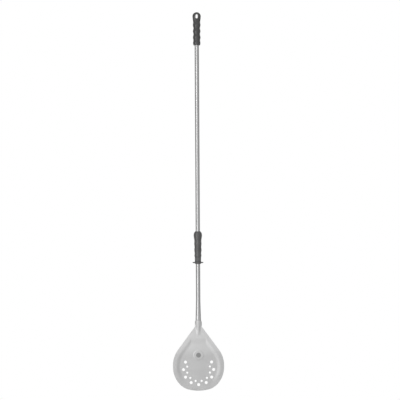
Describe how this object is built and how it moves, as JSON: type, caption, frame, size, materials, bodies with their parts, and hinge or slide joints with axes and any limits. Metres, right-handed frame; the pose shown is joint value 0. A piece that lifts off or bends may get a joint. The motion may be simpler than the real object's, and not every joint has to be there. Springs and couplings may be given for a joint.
{
  "type": "pizza peel",
  "caption": "Small round perforated steel turning peel on a long tubular handle, with a sliding and turning sleeve grip and an end grip with a hanging eye.",
  "frame": {"origin": "on the handle tube's axis, at the top inside surface of the hanging eye, where a hook bears", "axes": "+Z along the handle from the blade towards the hanging eye; -Y is the side that carries the pizza; +X to the right seen from that side"},
  "size_m": [0.2, 0.0416, 1.4805],
  "materials": {
    "blade_steel": "satin pressed sheet, lightly scuffed",
    "tube_steel": "polished lengthwise on a belt",
    "weld_steel": "brushed weld bead with a faint heat tint",
    "screw_steel": "turned, bright",
    "grip_black": "soft charcoal moulding with a fine satin texture",
    "guard_black": "hard charcoal moulding, smoother than the grips",
    "liner_black": "plain moulded nylon",
    "bush_nylon": "natural nylon, low friction"
  },
  "bodies": {
    "peel": {"blade": "blade_steel", "shaft_tube": "tube_steel", "neck_weld_left": "weld_steel", "neck_weld_right": "weld_steel", "neck_weld_tip": "weld_steel", "tube_end_plug": "liner_black", "end_grip": "grip_black", "end_grip_screw": "screw_steel"},
    "slider_bushes": {"rear_bush": "bush_nylon", "front_bush": "bush_nylon"},
    "slider": {"slider_liner": "liner_black", "slider_grip": "grip_black", "rear_collar": "guard_black", "front_collar": "guard_black", "guard_ring": "guard_black"}
  },
  "joints": [
    {"name": "handle_slide", "type": "slide", "parent": "peel", "child": "slider_bushes", "axis": [0, 0, 1], "range_m": [-0.14, 0.72]},
    {"name": "handle_spin", "type": "hinge", "parent": "slider_bushes", "child": "slider", "pos_m": [0, 0, -0.91], "axis": [0, 0, 1], "continuous": true}
  ]
}
